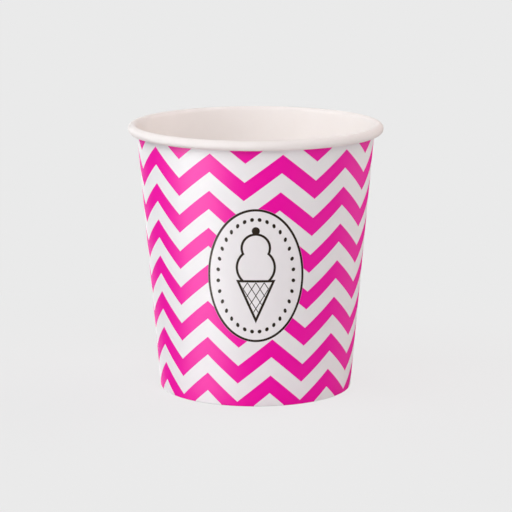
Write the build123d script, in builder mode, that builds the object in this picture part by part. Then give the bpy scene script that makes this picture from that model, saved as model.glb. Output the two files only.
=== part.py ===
from build123d import *

import os
from math import asin, atan2, cos, degrees, radians, tan

# Paper ice cream cup: a wrapped board wall with a rolled rim and a folded foot, and a recessed board base.
# Millimetres. The cup stands on z = 0, its axis is Z and its printed front faces -Y.
# Sections are drawn on the XZ plane, where x is the distance from the axis.

# Driving dimensions
rim_diameter = 97.0  # outside of the rolled rim
foot_diameter = 73.2  # outside of the wall, carried down to the table
cup_height = 101.6
wall_board = 0.4  # thickness of the wall's board
base_board = 0.35  # thickness of the base's board
curl_diameter = 3.7  # outside of the rim's roll
curl_turn = 250.0  # degrees that the rim rolls round before its edge tucks in
tuck_turn = 165.0  # degrees that the tucked edge rolls on inside
curl_clearance = 0.05  # between the tucked edge and the wall
hem_height = 6.0  # top of the wall's lower edge, folded inwards and up
hem_to_base = 1.0  # from the hem's top to the underside of the base
fold_radius = 0.1  # inside of the two creases under the foot
base_bend_radius = 0.5  # inside of the bend between the base and its skirt
glue_gap = 0.05  # between boards that are sealed together
seam_direction = 169.0  # degrees from +X to the outer cut edge of the side seam, just behind the left side
seam_overlap = 9.0  # degrees of the wall that lie double at the seam
seam_ramp = 6.0  # degrees over which the outer layer climbs on to the inner one
seam_below_rim = 0.2  # from the rim's roll down to the top of the double layer

# The wall's slope, set by the foot and the roll that it runs into
curl_radius = curl_diameter / 2
curl_r = rim_diameter / 2 - curl_radius
curl_z = cup_height - curl_radius
foot_r = foot_diameter / 2
foot_to_curl = Vector(curl_r - foot_r, curl_z)
slope = atan2(foot_to_curl.X, foot_to_curl.Y) - asin((curl_radius - wall_board) / foot_to_curl.length)
slope_degrees = degrees(slope)


def wall_radius(z, depth=0.0):
    """Radius at height z of the surface that lies a depth inside the wall's printed face."""
    return foot_r + z * tan(slope) - depth / cos(slope)


# Depths of the layers at the foot, measured from the printed face: wall, skirt of the base, hem
skirt_outside = wall_board + glue_gap
skirt_inside = skirt_outside + base_board
hem_liner = skirt_inside + glue_gap

# The rim's roll: the liner side of the board is outside, and the cut edge tucks into a tighter turn
tuck_shift = (wall_board + curl_clearance) / (1 - cos(radians(curl_turn)))
curl_start = 180 - slope_degrees
tuck_start = curl_start - curl_turn
curl_centre = Vector(curl_r, curl_z)
tuck_centre = curl_centre + Vector(tuck_shift, 0).rotate(Axis.Z, tuck_start)

# The seam runs from the folds of the foot to just under the roll
seam_low = wall_board + fold_radius
seam_high = cup_height - curl_diameter - seam_below_rim
seam_climb_end = seam_direction - seam_overlap
seam_climb_start = seam_climb_end - seam_ramp


def point_round(radius, direction):
    """Point at a radius and a direction in degrees round the cup."""
    return Vector(radius, 0).rotate(Axis.Z, direction)


def draw_wall_face(depth):
    """One face of the wall's board, a depth behind its liner face, from the hem's top to the tucked edge."""
    foot_level = wall_board - depth
    straight = FilletPolyline(
        (wall_radius(hem_height, hem_liner + depth), hem_height),
        (wall_radius(foot_level, hem_liner + depth), foot_level),
        (wall_radius(foot_level, wall_board - depth), foot_level),
        curl_centre + Vector(curl_radius - depth, 0).rotate(Axis.Z, curl_start),
        radius=fold_radius + depth,
    )
    CenterArc(curl_centre, curl_radius - depth, curl_start, -curl_turn)
    tuck = CenterArc(tuck_centre, curl_radius - tuck_shift - depth, tuck_start, -tuck_turn)
    return straight @ 0, tuck @ 1


with BuildPart() as side_wall:
    with BuildSketch(Plane.XZ):
        with BuildLine():
            liner_ends = draw_wall_face(0)
            printed_ends = draw_wall_face(wall_board)
            for liner_end, printed_end in zip(liner_ends, printed_ends):
                Line(liner_end, printed_end)
        make_face()
    revolve(axis=Axis.Z)
    # The outer layer of the seam: it climbs off the wall, then lies on the inner layer up to its cut edge
    for z in (seam_low, seam_high):
        printed_face = wall_radius(z)
        buried = wall_radius(z, wall_board / 2)
        layer_face = wall_radius(z, -wall_board)
        with BuildSketch(Plane.XY.offset(z)):
            with BuildLine():
                Line(point_round(printed_face, seam_climb_start), point_round(layer_face, seam_climb_end))
                CenterArc((0, 0), layer_face, seam_climb_end, seam_overlap)
                Line(point_round(layer_face, seam_direction), point_round(buried, seam_direction))
                CenterArc((0, 0), buried, seam_direction, -(seam_overlap + seam_ramp))
                Line(point_round(buried, seam_climb_start), point_round(printed_face, seam_climb_start))
            make_face()
    loft(ruled=True)
    # The groove inside, between the climbing layer and the cut edge of the inner one
    for z in (seam_low, seam_high):
        liner_face = wall_radius(z, wall_board)
        printed_face = wall_radius(z)
        inner_side = wall_radius(z, 2 * wall_board)
        with BuildSketch(Plane.XY.offset(z)):
            with BuildLine():
                Polyline(
                    point_round(liner_face, seam_climb_start),
                    point_round(printed_face, seam_climb_end),
                    point_round(inner_side, seam_climb_end),
                    point_round(inner_side, seam_climb_start),
                    close=True,
                )
            make_face()
    loft(ruled=True, mode=Mode.SUBTRACT)

base_underside = hem_height + hem_to_base
skirt_foot = wall_board + fold_radius + glue_gap

with BuildPart() as base_disc:
    with BuildSketch(Plane.XZ):
        with BuildLine():
            FilletPolyline(
                (0, base_underside),
                (wall_radius(base_underside, skirt_inside), base_underside),
                (wall_radius(skirt_foot, skirt_inside), skirt_foot),
                radius=base_bend_radius,
            )
            offset(amount=base_board, side=Side.LEFT, closed=True)
        make_face()
    revolve(axis=Axis.Z)

side_wall.part.label = "side_wall"
base_disc.part.label = "base_disc"

os.makedirs("parts", exist_ok=True)
export_step(side_wall.part, "parts/side_wall.step")
export_step(base_disc.part, "parts/base_disc.step")
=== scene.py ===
from math import asin, atan2, cos, degrees, pi, radians, sin, tan

import bpy
import numpy as np
from mathutils import Matrix, Vector


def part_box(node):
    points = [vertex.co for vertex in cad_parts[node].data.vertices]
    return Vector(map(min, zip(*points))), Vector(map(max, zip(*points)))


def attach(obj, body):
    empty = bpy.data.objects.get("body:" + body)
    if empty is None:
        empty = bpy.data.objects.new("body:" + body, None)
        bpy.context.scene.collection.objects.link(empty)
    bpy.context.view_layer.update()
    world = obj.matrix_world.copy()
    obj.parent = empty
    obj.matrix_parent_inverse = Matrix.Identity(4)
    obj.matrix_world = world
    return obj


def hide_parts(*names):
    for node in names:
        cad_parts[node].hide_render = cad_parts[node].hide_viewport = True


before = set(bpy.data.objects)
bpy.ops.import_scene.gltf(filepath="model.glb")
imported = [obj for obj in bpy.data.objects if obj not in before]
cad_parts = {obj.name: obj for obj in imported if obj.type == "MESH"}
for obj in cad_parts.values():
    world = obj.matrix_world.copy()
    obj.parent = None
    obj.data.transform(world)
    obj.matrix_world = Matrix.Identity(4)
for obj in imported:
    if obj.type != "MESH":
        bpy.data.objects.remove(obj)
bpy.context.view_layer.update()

# Paper ice cream cup in metres. It stands on z = 0, its axis is Z and its printed front faces -Y.
# Angles round the cup are degrees from the front, growing to the right of someone who faces it.
MM = 0.001
sharp_angle = 40.0

# Sizes of the board and its folds
wall_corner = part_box("side_wall")[1]
cup_height = wall_corner.z
rim_radius = wall_corner.x
foot_radius = 36.6 * MM
wall_board = 0.4 * MM
base_board = 0.35 * MM
curl_radius = 1.85 * MM
curl_turn = 250.0
tuck_turn = 165.0
curl_clearance = 0.05 * MM
hem_height = 6.0 * MM
hem_to_base = 1.0 * MM
fold_radius = 0.1 * MM
base_bend_radius = 0.5 * MM
glue_gap = 0.05 * MM

# The side seam: the outer layer ends at seam_angle, and the inner one starts seam_overlap degrees before it
seam_angle = -101.0
seam_overlap = 9.0
seam_ramp = 6.0
column_step = 0.75

# Small marks of the making: ribs that press the hem on to the skirt, an uneven wall and a base that sags
rib_pitch = 3.75
rib_depth = 0.12 * MM
rib_fade = hem_height / 4
wall_unevenness = 0.07 * MM
wall_waves = (  # count round the cup, strength, start in radians and twist in radians a metre of height
    (2, 1.0, 0.6, 0.0),
    (3, 0.5, 2.1, 20.0),
    (7, 0.3, 0.0, 0.0),
)
base_sag = 0.3 * MM
ring_place = 0.93  # the pressed ring's radius and its width, as shares of the base's flat radius
ring_width = 0.018
ring_depth = 0.15 * MM

# The wall's slope, set by the foot and the roll that it runs into
curl_r = rim_radius - curl_radius
curl_z = cup_height - curl_radius
foot_to_curl = Vector((curl_r - foot_radius, curl_z))
slope = atan2(foot_to_curl.x, foot_to_curl.y) - asin((curl_radius - wall_board) / foot_to_curl.length)


def wall_radius(z, depth=0.0):
    """Radius at height z of the surface that lies a depth inside the wall's printed face."""
    return foot_radius + z * tan(slope) - depth / cos(slope)


skirt_outside = wall_board + glue_gap
skirt_inside = skirt_outside + base_board
hem_liner = skirt_inside + glue_gap
base_underside = hem_height + hem_to_base
skirt_foot = wall_board + fold_radius + glue_gap


def smooth_step(low, high, values):
    """0 below low, 1 above high and a smooth climb between."""
    t = np.clip((values - low) / (high - low), 0, 1)
    return t * t * (3 - 2 * t)


def trace_board(point, heading, moves):
    """One face of a bent board, seen in section, as rows of distance from the axis, height and heading.

    Each move is a length, the degrees that the board turns over it (left is positive) and its steps."""
    rows = [(point.x, point.y, heading)]
    for length, turn, steps in moves:
        bend = radians(turn) / steps
        chord = length / steps * (sin(bend / 2) / (bend / 2) if turn else 1)
        for _ in range(steps):
            middle = heading + bend / 2
            point = point + chord * Vector((cos(middle), sin(middle)))
            heading += bend
            rows.append((point.x, point.y, heading))
    return np.array(rows)


def straight(length, steps):
    """A move that doesn't turn."""
    return length, 0, steps


def arc(radius, turn, steps):
    """A move that turns at a radius."""
    return radius * abs(radians(turn)), turn, steps


def quads(grid):
    """The four corners of each cell of a grid of values, one row to a cell."""
    corners = (grid[:-1, :-1], grid[1:, :-1], grid[1:, 1:], grid[:-1, 1:])
    return np.stack(corners, axis=2).reshape(-1, 4, *grid.shape[2:])


def fan(middle, ring):
    """The corners of faces that close a ring of points on its middle, two steps of the ring to a face."""
    return np.column_stack([np.full(len(ring) // 2, middle), ring[:-1:2], ring[1::2], ring[2::2]])


class MeshPatches:
    """A mesh put together from grids of points, each with its own material and places on the UV maps."""

    def __init__(self):
        self.points = []
        self.count = 0
        self.faces = []
        self.materials = []
        self.maps = {}

    def add_points(self, grid):
        """Adds a grid of points and returns their numbers in the same layout."""
        numbers = np.arange(self.count, self.count + grid.shape[0] * grid.shape[1]).reshape(grid.shape[:2])
        self.points.append(grid.reshape(-1, 3))
        self.count += numbers.size
        return numbers

    def add_faces(self, faces, material, flip=False, **maps):
        """Adds faces, each a row of four point numbers. maps gives their corners' places on each UV map."""
        turned = slice(None, None, -1) if flip else slice(None)
        self.faces.append(faces[:, turned])
        self.materials.append(np.full(len(faces), material))
        for name, places in maps.items():
            self.maps.setdefault(name, []).append(places[:, turned].reshape(-1, 2))

    def build(self, name, materials):
        """The finished object."""
        mesh = bpy.data.meshes.new(name)
        mesh.from_pydata(np.concatenate(self.points).tolist(), [], np.concatenate(self.faces).tolist())
        for material in materials:
            mesh.materials.append(material)
        mesh.polygons.foreach_set("material_index", np.concatenate(self.materials).astype(np.int32))
        for map_name, places in self.maps.items():
            layer = mesh.uv_layers.new(name=map_name)
            layer.uv.foreach_set("vector", np.concatenate(places).astype(np.float32).ravel())
        mesh.shade_smooth()
        mesh.set_sharp_from_angle(angle=radians(sharp_angle))
        mesh.validate()
        piece = bpy.data.objects.new(name, mesh)
        bpy.context.scene.collection.objects.link(piece)
        return piece


def place_grid(across, up):
    """UV places for a grid whose rows share a height and whose columns share a place across."""
    return np.stack(np.broadcast_arrays(across[None, :], up[:, None]), axis=2)


def spread(values, low, high):
    """Values rescaled to run from low to high."""
    return low + (values - values[0]) / (values[-1] - values[0]) * (high - low)


# The side wall: one blank of board, wrapped round from its inner cut edge to its outer one
PRINTED, LINER, CUT_EDGE = range(3)

# Its places on the bake's map: the printed face in a tall band, the liner in a lower one and the cut edges
# in strips. A band's four heights are those of the hem's top, the wall's foot, the roll's start and the tuck.
BAKE_ACROSS = (0.012, 0.988)
PRINTED_BAND = (0.01, 0.07, 0.66, 0.69)
LINER_BAND = (0.70, 0.73, 0.91, 0.965)
HEM_STRIP = (0.972, 0.982)
TUCK_STRIP = (0.986, 0.996)
INNER_STRIP = (0.001, 0.008)
OUTER_STRIP = (0.992, 0.999)


def trace_wall():
    """The wall's liner face in section, from the hem's top to the tucked edge.

    Also the step at which each of its parts ends."""
    hem_turn = 90 + degrees(slope)
    foot_turn = 90 - degrees(slope)
    hem_corner = fold_radius * tan(radians(hem_turn) / 2)
    foot_corner = fold_radius * tan(radians(foot_turn) / 2)
    curl_start = Vector((curl_r - curl_radius * cos(slope), curl_z + curl_radius * sin(slope)))
    wall_foot = Vector((wall_radius(wall_board, wall_board), wall_board))
    tuck_radius = curl_radius - (wall_board + curl_clearance) / (1 - cos(radians(curl_turn)))
    moves = (
        straight((hem_height - wall_board) / cos(slope) - hem_corner, steps=8),
        arc(fold_radius, hem_turn, steps=5),
        straight((hem_liner - wall_board) / cos(slope) - hem_corner - foot_corner, steps=2),
        arc(fold_radius, foot_turn, steps=5),
        straight((curl_start - wall_foot).length - foot_corner, steps=20),
        arc(curl_radius, -curl_turn, steps=22),
        arc(tuck_radius, -tuck_turn, steps=10),
    )
    start = Vector((wall_radius(hem_height, hem_liner), hem_height))
    ends = np.cumsum([steps for _, _, steps in moves])
    return trace_board(start, -radians(hem_turn), moves), ends


def build_side_wall(materials):
    """The wall's board: its printed face, its liner and its four cut edges."""
    rows, ends = trace_wall()
    hem_end, wall_start, wall_end = ends[0], ends[3], ends[4]
    along = np.concatenate([[0], np.cumsum(np.hypot(*np.diff(rows[:, :2], axis=0).T))])
    r, z, heading = (rows[:, [k]] for k in range(3))
    out_r, out_z = np.sin(heading), -np.cos(heading)  # towards the printed side
    column_count = round((360 + seam_overlap) / column_step)
    angles = np.linspace(seam_angle - seam_overlap, seam_angle + 360, column_count + 1)[None, :]

    # The last columns climb on to the first ones. Under the foot the first ones lift instead, off the table.
    lap = wall_board + glue_gap / 2
    outer = lap * smooth_step(360 - seam_overlap - seam_ramp, 360 - seam_overlap, angles - seam_angle)
    inner = lap * (1 - smooth_step(0, seam_ramp, angles - seam_angle))
    above_foot = smooth_step(hem_height, 2 * hem_height, z)
    shift_r = outer * out_r
    shift_z = outer * out_z * above_foot - inner * out_z * (1 - above_foot)

    # Pressed ribs on the hem, and a wall that is never quite round
    on_hem = np.clip((along[hem_end] - along[:, None]) / rib_fade, 0, 1)
    ribs = (1 - np.cos(2 * pi * angles / rib_pitch)) / 2
    shift_r = shift_r - on_hem * rib_depth * ribs
    round_cup = np.radians(angles)
    waves = sum(
        strength * (1 + np.cos(count * round_cup + start + twist * z))
        for count, strength, start, twist in wall_waves
    )
    high_up = smooth_step(2 * hem_height, cup_height, z)
    shift_r = shift_r - wall_unevenness * waves / 2 * high_up

    def wrap(depth):
        """The face that lies a depth behind the liner face, as a grid of points."""
        radius = r + shift_r + depth * out_r
        height = z + shift_z + depth * out_z
        return np.stack([radius * np.sin(round_cup), -radius * np.cos(round_cup),
                         height + 0 * round_cup], axis=2)

    patches = MeshPatches()
    liner = patches.add_points(wrap(0))
    printed = patches.add_points(wrap(wall_board))

    # The blank's own map: degrees across, and the printed face's height in millimetres, carried on past
    # the wall's two ends by the length of board
    print_height = (z + wall_board * out_z)[:, 0]
    print_height[:wall_start] = print_height[wall_start] + along[:wall_start] - along[wall_start]
    print_height[wall_end:] = print_height[wall_end] + along[wall_end:] - along[wall_end]
    blank = place_grid(angles[0], print_height / MM)

    across = spread(angles[0], *BAKE_ACROSS)
    bends = along[[0, wall_start, wall_end, -1]]
    printed_place = place_grid(across, np.interp(along, bends, PRINTED_BAND))
    liner_place = place_grid(across, np.interp(along, bends, LINER_BAND))
    patches.add_faces(quads(printed), PRINTED, flip=True, blank=quads(blank), OFBake=quads(printed_place))
    patches.add_faces(quads(liner), LINER, blank=quads(blank), OFBake=quads(liner_place))
    for row, strip, flip in ((0, HEM_STRIP, False), (-1, TUCK_STRIP, True)):
        edge = np.stack([printed[row], liner[row]])
        place = place_grid(across, np.array(strip))
        patches.add_faces(quads(edge), CUT_EDGE, flip=flip, blank=quads(blank[[row, row]]),
                          OFBake=quads(place))
    for column, strip, flip in ((0, INNER_STRIP, True), (-1, OUTER_STRIP, False)):
        edge = np.stack([printed[:, column], liner[:, column]], axis=1)
        place = place_grid(np.array(strip), spread(along, PRINTED_BAND[0], PRINTED_BAND[-1]))
        patches.add_faces(quads(edge), CUT_EDGE, flip=flip, blank=quads(blank[:, [column, column]]),
                          OFBake=quads(place))
    return patches.build("side_wall_board", materials)


# The base: a disc with its edge turned down into a skirt
UPPER, UNDERSIDE, SKIRT_EDGE = range(3)
base_columns = 240


def build_base_disc(materials):
    """The base's board: its upper face, its underside and the cut edge of its skirt."""
    bend_turn = 90 + degrees(slope)
    outside_bend = base_bend_radius + base_board
    corner = outside_bend * tan(radians(bend_turn) / 2)
    top = base_underside + base_board
    flat = wall_radius(top, skirt_outside) - corner
    skirt = (top - skirt_foot) / cos(slope) - corner
    moves = (straight(flat, steps=24), arc(outside_bend, -bend_turn, steps=8), straight(skirt, steps=6))
    rows = trace_board(Vector((0, top)), 0.0, moves)[1:]
    r, z, heading = (rows[:, [k]] for k in range(3))
    angles = np.linspace(0, 2 * pi, base_columns, endpoint=False)[None, :]

    # The disc dips a little in the middle and has a shallow pressed ring near its edge
    ring = np.exp(-((r / flat - ring_place) / ring_width) ** 2)
    dip = base_sag * (1 - np.clip(r / flat, 0, 1) ** 2) ** 2 + ring_depth * ring
    z = z - dip * (z > top - base_board / 2)

    def wrap(depth):
        """The face that lies a depth under the upper one, as a grid of points."""
        radius = r + depth * np.sin(heading)
        return np.stack([radius * np.sin(angles), -radius * np.cos(angles),
                         z - depth * np.cos(heading) + 0 * angles], axis=2)

    patches = MeshPatches()
    edges = []
    for depth, material, flip in ((0, UPPER, False), (base_board, UNDERSIDE, True)):
        numbers = patches.add_points(wrap(depth))
        closed = np.column_stack([numbers, numbers[:, 0]])
        middle = patches.add_points(np.array([[[0, 0, top - base_sag - depth]]])).item()
        patches.add_faces(quads(closed), material, flip=flip)
        patches.add_faces(fan(middle, closed[0]), material, flip=flip)
        edges.append(closed[-1])
    patches.add_faces(quads(np.stack(edges)), SKIRT_EDGE)
    return patches.build("base_disc_board", materials)


# Materials
class Field:
    """A number that varies over a surface, worked out by Math nodes."""

    def __init__(self, tree, socket):
        self.tree = tree
        self.socket = socket

    def work_out(self, operation, *terms, clamp=False):
        """The result of one Math node. Each term is a field or a number."""
        node = self.tree.nodes.new("ShaderNodeMath")
        node.operation = operation
        node.use_clamp = clamp
        for socket, term in zip(node.inputs, terms):
            if isinstance(term, Field):
                self.tree.links.new(term.socket, socket)
            else:
                socket.default_value = term
        return Field(self.tree, node.outputs[0])

    def __add__(self, other):
        return self.work_out("ADD", self, other)

    def __sub__(self, other):
        return self.work_out("SUBTRACT", self, other)

    def __rsub__(self, other):
        return self.work_out("SUBTRACT", other, self)

    def __mul__(self, other):
        return self.work_out("MULTIPLY", self, other)

    def __truediv__(self, other):
        return self.work_out("DIVIDE", self, other)

    def __abs__(self):
        return self.work_out("ABSOLUTE", self)

    def fraction(self):
        return self.work_out("FRACT", self)

    def root(self):
        return self.work_out("SQRT", self)

    def sine(self):
        return self.work_out("SINE", self)

    def cosine(self):
        return self.work_out("COSINE", self)

    def least(self, other):
        return self.work_out("MINIMUM", self, other)

    def most(self, other):
        return self.work_out("MAXIMUM", self, other)

    def inside(self, softness):
        """1 where this distance is negative, 0 where it is positive, soft over the edge between."""
        return self.work_out("MULTIPLY_ADD", self, -1 / softness, 0.5, clamp=True)


class Paper:
    """A board's material: a Principled shader and the fields that drive it."""

    def __init__(self, name):
        self.material = bpy.data.materials.new(name)
        self.material.use_nodes = True
        self.tree = self.material.node_tree
        self.shader = self.tree.nodes["Principled BSDF"]
        self.coordinates = self.tree.nodes.new("ShaderNodeTexCoord")

    def set(self, **values):
        """Values of the shader's sockets that are the same all over."""
        for name, value in values.items():
            self.shader.inputs[name.replace("_", " ")].default_value = value

    def link(self, socket, target):
        self.tree.links.new(socket, target)

    def noise(self, size, detail):
        """Noise with grains of a size, in metres, as a field from 0 to 1."""
        node = self.tree.nodes.new("ShaderNodeTexNoise")
        node.inputs["Scale"].default_value = 1 / size
        node.inputs["Detail"].default_value = detail
        self.link(self.coordinates.outputs["Object"], node.inputs["Vector"])
        return Field(self.tree, node.outputs["Fac"])

    def blend(self, amount, first, second):
        """A colour that goes from the first to the second. Each is a colour or a socket."""
        node = self.tree.nodes.new("ShaderNodeMix")
        node.data_type = "RGBA"
        self.link(amount.socket, node.inputs["Factor"])
        for name, colour in (("A", first), ("B", second)):
            target = next(s for s in node.inputs if s.name == name and s.type == "RGBA")
            if isinstance(colour, bpy.types.NodeSocket):
                self.link(colour, target)
            else:
                target.default_value = (*colour, 1)
        return next(s for s in node.outputs if s.type == "RGBA")

    def finish(self, colour, roughness, height, depth):
        """Joins a colour socket, a roughness field and a height field of that depth to the shader."""
        bump = self.tree.nodes.new("ShaderNodeBump")
        bump.inputs["Distance"].default_value = depth
        self.link(height.socket, bump.inputs["Height"])
        self.link(colour, self.shader.inputs["Base Color"])
        self.link(roughness.socket, self.shader.inputs["Roughness"])
        self.link(bump.outputs["Normal"], self.shader.inputs["Normal"])
        return self.material


# Colours, scene-linear
BOARD_WHITE = (0.92, 0.908, 0.918)
BOARD_SHADE = (0.88, 0.868, 0.878)
INK_PINK = (0.955, 0.001, 0.415)
INK_PINK_DEEP = (0.918, 0.0005, 0.382)
INK_BROWN = (0.020, 0.012, 0.006)
LINER_WHITE = (0.952, 0.918, 0.893)
LINER_SHADE = (0.924, 0.884, 0.854)
EDGE_PALE = (0.80, 0.75, 0.68)
EDGE_DARK = (0.62, 0.55, 0.47)
BARE_PALE = (0.84, 0.81, 0.78)
BARE_DARK = (0.70, 0.67, 0.64)

# Chevrons on the wall, in millimetres of height and degrees round the cup
chevron_pitch = 14.005
chevron_band = 6.869
chevron_rise = 10.406
chevron_top = 96.19
chevron_repeat = 36.048
chevron_fan_angle = 86.66
chevron_fan_phase = 1.048
chevron_fan_height = 50.0
chevron_fan_taper = 0.0257
chevron_swing = 2.43
chevron_tilt = 0.225
chevron_softness = 0.16

# The label on the front: the place of its middle, then its shapes in millimetres from there
label_angle = 0.1
label_height = 50.6
label_half_width = 18.2
label_half_height = 25.4
label_line = 0.9
label_softness = 0.14
bead_inset = 4.0
bead_radius = 0.72
bead_count = 32
cone_tip = -17.0
cone_top = -2.0
cone_half_width = 6.6
waffle_pitch = 3.1
waffle_slope = 0.62
waffle_half_line = 0.18
waffle_margin = 0.5
lower_scoop = (3.2, 7.0)  # height of its middle and radius, as in the next two
upper_scoop = (10.6, 5.2)
cherry = (17.1, 1.5)

# How far the board's fibres shift the edges of the ink, in millimetres
ink_wobble = 0.06


def draw_chevrons(angle, height, wobble):
    """1 on the pink zigzag bands. Their columns fan out slightly from one upright column.

    The print isn't quite centred on the cup, so its columns widen and its bands rise towards one side."""
    turn = angle * (pi / 180)
    shifted = angle + turn.cosine() * chevron_swing
    level = height + turn.sine() * chevron_tilt
    width = chevron_repeat - (height - chevron_fan_height) * chevron_fan_taper
    column = (shifted - chevron_fan_angle) / width + chevron_fan_phase
    valley = 1 - abs(column.fraction() * 2 - 1)
    half_band = chevron_band / 2
    band = (level + valley * chevron_rise - (chevron_top - half_band)) / chevron_pitch + 0.5
    from_middle = abs(band.fraction() - 0.5) * chevron_pitch
    return (from_middle - half_band + wobble).inside(chevron_softness)


def draw_label(angle, height, wobble):
    """Fields of the label: 1 inside its white oval, and 1 on its brown drawing of a cone and scoops."""
    radius = height * tan(slope) + foot_radius / MM
    x = (angle - label_angle) * (pi / 180) * radius
    y = height - label_height

    def circle(centre_y, size):
        """Distance outside a circle on the label's upright middle line."""
        rise = y - centre_y
        return (x * x + rise * rise).root() - size

    def oval(shrink):
        """Distance outside an upright oval that lies inside the label's edge."""
        least_steepness = 0.001
        across = label_half_width - shrink
        upright = label_half_height - shrink
        level = ((x * x) / across**2 + (y * y) / upright**2).root()
        steepness = ((x * x) / across**4 + (y * y) / upright**4).root().most(least_steepness)
        return (level - 1) * level / steepness

    def beads():
        """Distance outside the dots of a ring that follows the label's edge."""
        across = label_half_width - bead_inset
        upright = label_half_height - bead_inset
        step = 2 * pi / bead_count
        turn = x.work_out("ARCTAN2", x / across, y / upright) / step
        flat_part, steep_part = y * (across / upright), x * (upright / across)
        step_length = (flat_part * flat_part + steep_part * steep_part).root() * step
        aside = (turn.fraction() - 0.5) * step_length
        off = oval(bead_inset)
        return (aside * aside + off * off).root() - bead_radius

    edge = oval(0)
    ring = abs(oval(label_line / 2)) - label_line / 2
    lean = atan2(cone_half_width, cone_top - cone_tip)
    sides = abs(x) * cos(lean) - (y - cone_tip) * sin(lean)
    cone = sides.most(y - cone_top)
    scoops = circle(*lower_scoop).least(circle(*upper_scoop)).most(cone_top - y)
    outline = abs(cone).least(abs(scoops)) - label_line / 2
    slants = [(x * direction + y * waffle_slope) / waffle_pitch for direction in (1, -1)]
    rising, falling = (abs(slant.fraction() - 0.5) * waffle_pitch - waffle_half_line for slant in slants)
    waffle = rising.least(falling).most(cone + waffle_margin)
    drawing = outline.least(waffle).least(circle(*cherry)).least(ring).least(beads())
    return (edge + wobble).inside(label_softness), (drawing + wobble).inside(label_softness)


def make_printed_board():
    """Coated white board with pink zigzag bands and a plain label, under a satin varnish."""
    paper = Paper("printed_board")
    paper.set(Specular_IOR_Level=0.0, Coat_Weight=0.036, Coat_IOR=2.5, Coat_Roughness=0.42)
    uv_map = paper.tree.nodes.new("ShaderNodeUVMap")
    uv_map.uv_map = "blank"
    parts = paper.tree.nodes.new("ShaderNodeSeparateXYZ")
    paper.link(uv_map.outputs["UV"], parts.inputs["Vector"])
    angle, height = (Field(paper.tree, parts.outputs[axis]) for axis in "XY")

    fibres = paper.noise(size=0.5 * MM, detail=4)
    mottle = paper.noise(size=6 * MM, detail=2)
    wobble = (fibres - 0.5) * ink_wobble
    pink = draw_chevrons(angle, height, wobble)
    oval, drawing = draw_label(angle, height, wobble)
    board = paper.blend(mottle, BOARD_WHITE, BOARD_SHADE)
    ink = paper.blend(mottle * 0.6 + fibres * 0.4, INK_PINK, INK_PINK_DEEP)
    colour = paper.blend(pink * (1 - oval), board, ink)
    colour = paper.blend(drawing * oval, colour, INK_BROWN)
    roughness = fibres * 0.08 + mottle * 0.06 + 0.39
    return paper.finish(colour, roughness, height=fibres, depth=0.006 * MM)


def make_liner():
    """The white plastic film inside the cup, on board whose fibres show faintly."""
    paper = Paper("white_liner")
    paper.set(Specular_IOR_Level=0.0, Coat_Weight=0.012, Coat_IOR=2.5, Coat_Roughness=0.4)
    fibres = paper.noise(size=0.6 * MM, detail=4)
    mottle = paper.noise(size=9 * MM, detail=2)
    colour = paper.blend(mottle, LINER_WHITE, LINER_SHADE)
    roughness = fibres * 0.10 + mottle * 0.08 + 0.32
    return paper.finish(colour, roughness, height=fibres, depth=0.008 * MM)


def make_cut_edge():
    """Bare pulp where the board was cut."""
    paper = Paper("cut_board_edge")
    paper.set(Specular_IOR_Level=0.2)
    fibres = paper.noise(size=0.12 * MM, detail=5)
    colour = paper.blend(fibres, EDGE_PALE, EDGE_DARK)
    roughness = fibres * 0.15 + 0.75
    return paper.finish(colour, roughness, height=fibres, depth=0.02 * MM)


def make_bare_board():
    """The uncoated underside of the base: soft grey-white board with visible pulp."""
    paper = Paper("bare_board")
    paper.set(Specular_IOR_Level=0.25)
    fibres = paper.noise(size=0.4 * MM, detail=6)
    clouds = paper.noise(size=4 * MM, detail=3)
    colour = paper.blend(fibres * 0.5 + clouds * 0.5, BARE_PALE, BARE_DARK)
    roughness = fibres * 0.15 + 0.65
    return paper.finish(colour, roughness, height=fibres, depth=0.015 * MM)


# Floor, background and light
BACKDROP_GREY = 0.823
FLOOR_DIFFUSE = (0.7, 0.7, 0.7)
floor_size = 8.0
floor_drop = 0.02 * MM  # keeps the floor clear of the foot
floor_lit = 0.6  # level of the floor beside the cup, where nothing shades it
shadow_share = 0.16
shadow_full = 0.06  # distances from the cup's axis between which the shadow fades out
shadow_gone = 0.2


def seen_plainly(tree):
    """1 for rays from the camera, straight, mirrored or through something clear; 0 for light on the cup."""
    path = tree.nodes.new("ShaderNodeLightPath")
    kinds = ("Is Camera Ray", "Is Glossy Ray", "Is Transmission Ray")
    camera, mirrored, through = (Field(tree, path.outputs[kind]) for kind in kinds)
    return camera.most(mirrored).most(through)


def add_plane(name, width, height, material):
    """A flat sheet of the stage, which isn't part of the cup."""
    mesh = bpy.data.meshes.new(name)
    corners = [(x * width / 2, y * height / 2, 0) for x, y in ((-1, -1), (1, -1), (1, 1), (-1, 1))]
    mesh.from_pydata(corners, [], [(0, 1, 2, 3)])
    mesh.materials.append(material)
    plane = bpy.data.objects.new(name, mesh)
    bpy.context.scene.collection.objects.link(plane)
    return plane


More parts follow.
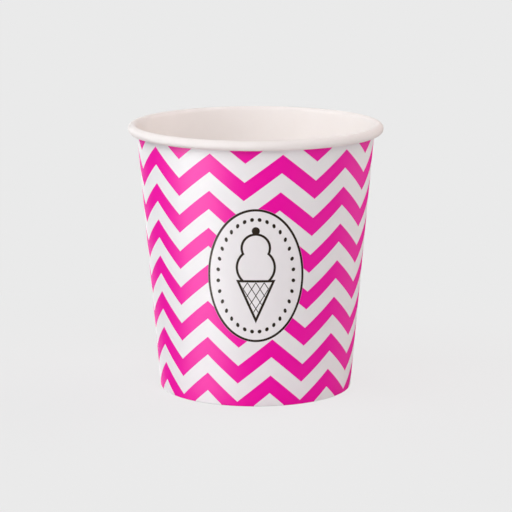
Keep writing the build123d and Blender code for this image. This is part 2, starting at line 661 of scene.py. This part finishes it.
def make_floor():
    """A floor of the backdrop's grey that takes a share of its real shading close to the cup."""
    material = bpy.data.materials.new("pale_floor")
    material.use_nodes = True
    tree = material.node_tree
    tree.nodes.clear()
    output = tree.nodes.new("ShaderNodeOutputMaterial")
    place = tree.nodes.new("ShaderNodeTexCoord")
    parts = tree.nodes.new("ShaderNodeSeparateXYZ")
    tree.links.new(place.outputs["Object"], parts.inputs["Vector"])
    x, y = (Field(tree, parts.outputs[axis]) for axis in "XY")
    distance = (x * x + y * y).root()
    fade = 1 / (shadow_gone - shadow_full)
    near = distance.work_out("MULTIPLY_ADD", distance, -fade, shadow_gone * fade, clamp=True)
    share = near * shadow_share
    glow = tree.nodes.new("ShaderNodeEmission")
    level = (BACKDROP_GREY - share * floor_lit) / (1 - share)
    tree.links.new(level.socket, glow.inputs["Strength"])
    matt = tree.nodes.new("ShaderNodeBsdfDiffuse")
    matt.inputs["Color"].default_value = (*FLOOR_DIFFUSE, 1)
    mix = tree.nodes.new("ShaderNodeMixShader")
    plain = seen_plainly(tree) * (1 - share)
    tree.links.new(plain.socket, mix.inputs["Fac"])
    tree.links.new(matt.outputs[0], mix.inputs[1])
    tree.links.new(glow.outputs[0], mix.inputs[2])
    tree.links.new(mix.outputs[0], output.inputs["Surface"])
    floor = add_plane("floor", floor_size, floor_size, material)
    floor.location.z = -floor_drop
    floor.visible_glossy = False
    floor.visible_shadow = False


def make_world():
    """The backdrop, which is only seen: the softboxes give all the light."""
    world = bpy.data.worlds.new("studio")
    world.use_nodes = True
    tree = world.node_tree
    tree.nodes.clear()
    output = tree.nodes.new("ShaderNodeOutputWorld")
    background = tree.nodes.new("ShaderNodeBackground")
    background.inputs["Color"].default_value = (BACKDROP_GREY, BACKDROP_GREY, BACKDROP_GREY, 1)
    tree.links.new(seen_plainly(tree).socket, background.inputs["Strength"])
    tree.links.new(background.outputs[0], output.inputs["Surface"])
    bpy.context.scene.world = world


def facing_cup(angle, elevation, distance):
    """The place of a light that faces the cup, at an angle round it and an elevation above its middle."""
    turn, rise = radians(angle), radians(elevation)
    away = Vector((sin(turn) * cos(rise), -cos(turn) * cos(rise), sin(rise)))
    middle = Vector((0, 0, cup_height / 2))
    return Matrix.Translation(middle + away * distance) @ away.to_track_quat("Z", "Y").to_matrix().to_4x4()


def add_softbox(name, angle, elevation, distance, width, height, brightness,
                tint=(1, 1, 1), sheen_only=False):
    """A soft light that faces the cup. brightness is its panel's, 1 being white."""
    lamp = bpy.data.lights.new(name, "AREA")
    lamp.shape = "RECTANGLE"
    lamp.size = width
    lamp.size_y = height
    lamp.energy = brightness * pi * width * height
    lamp.color = tint
    softbox = bpy.data.objects.new(name, lamp)
    softbox.matrix_world = facing_cup(angle, elevation, distance)
    softbox.visible_camera = False
    softbox.visible_diffuse = not sheen_only
    bpy.context.scene.collection.objects.link(softbox)


def add_camera():
    """A long lens in front of the cup, looking slightly down on it."""
    sensor_width = 36.0
    picture_width = 512
    focal_pixels = 2543.0
    place = (0.14 * MM, -956.1 * MM, 239.0 * MM)
    dip = 0.1951  # radians below level
    camera = bpy.data.cameras.new("camera")
    camera.sensor_width = sensor_width
    camera.lens = sensor_width * focal_pixels / picture_width
    camera.clip_start = 0.05
    camera.clip_end = 20.0
    viewer = bpy.data.objects.new("camera", camera)
    viewer.location = place
    viewer.rotation_euler = (pi / 2 - dip, 0, 0)
    bpy.context.scene.collection.objects.link(viewer)
    bpy.context.scene.camera = viewer


liner = make_liner()
cut_edge = make_cut_edge()
side_wall = build_side_wall([make_printed_board(), liner, cut_edge])
base_disc = build_base_disc([liner, make_bare_board(), cut_edge])
for piece, node, slot in (
    (side_wall, "side_wall", "printed_board"),
    (base_disc, "base_disc", "plain_board"),
):
    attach(piece, "root")
    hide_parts(node)

make_floor()
make_world()
add_softbox("key_left", angle=-73, elevation=36, distance=1.2, width=0.85, height=1.0, brightness=2.5,
            tint=(0.93, 0.98, 1))
add_softbox("front", angle=10, elevation=20, distance=1.4, width=1.0, height=0.8, brightness=2.3,
            tint=(1, 0.975, 0.975))
add_softbox("front_top", angle=-16, elevation=43, distance=1.4, width=1.4, height=0.8, brightness=2.15,
            tint=(1, 0.93, 0.95))
add_softbox("right_back", angle=118, elevation=34, distance=0.5, width=0.4, height=0.4, brightness=2.75,
            tint=(1, 0.87, 0.84))
add_softbox("left_back", angle=-130, elevation=25, distance=1.5, width=1.0, height=1.0, brightness=2.2,
            tint=(1, 0.95, 0.945))
# Lamps for the varnish's sheen alone. The wall leans outwards and mirrors what is low down, so these reach
# below the floor, which casts no shadow and isn't mirrored.
add_softbox("sheen_left", angle=-57, elevation=-9, distance=0.6, width=0.5, height=0.34, brightness=27,
            sheen_only=True)
add_softbox("sheen_edge", angle=-158, elevation=-13, distance=1.2, width=0.5, height=0.7, brightness=22,
            sheen_only=True)
add_softbox("sheen_front", angle=61, elevation=-4, distance=1.2, width=0.9, height=0.5, brightness=4.5,
            sheen_only=True)
add_softbox("sheen_right", angle=120, elevation=-5, distance=1.2, width=0.9, height=0.7, brightness=7,
            sheen_only=True)
add_camera()
bpy.context.scene.view_settings.view_transform = "Standard"
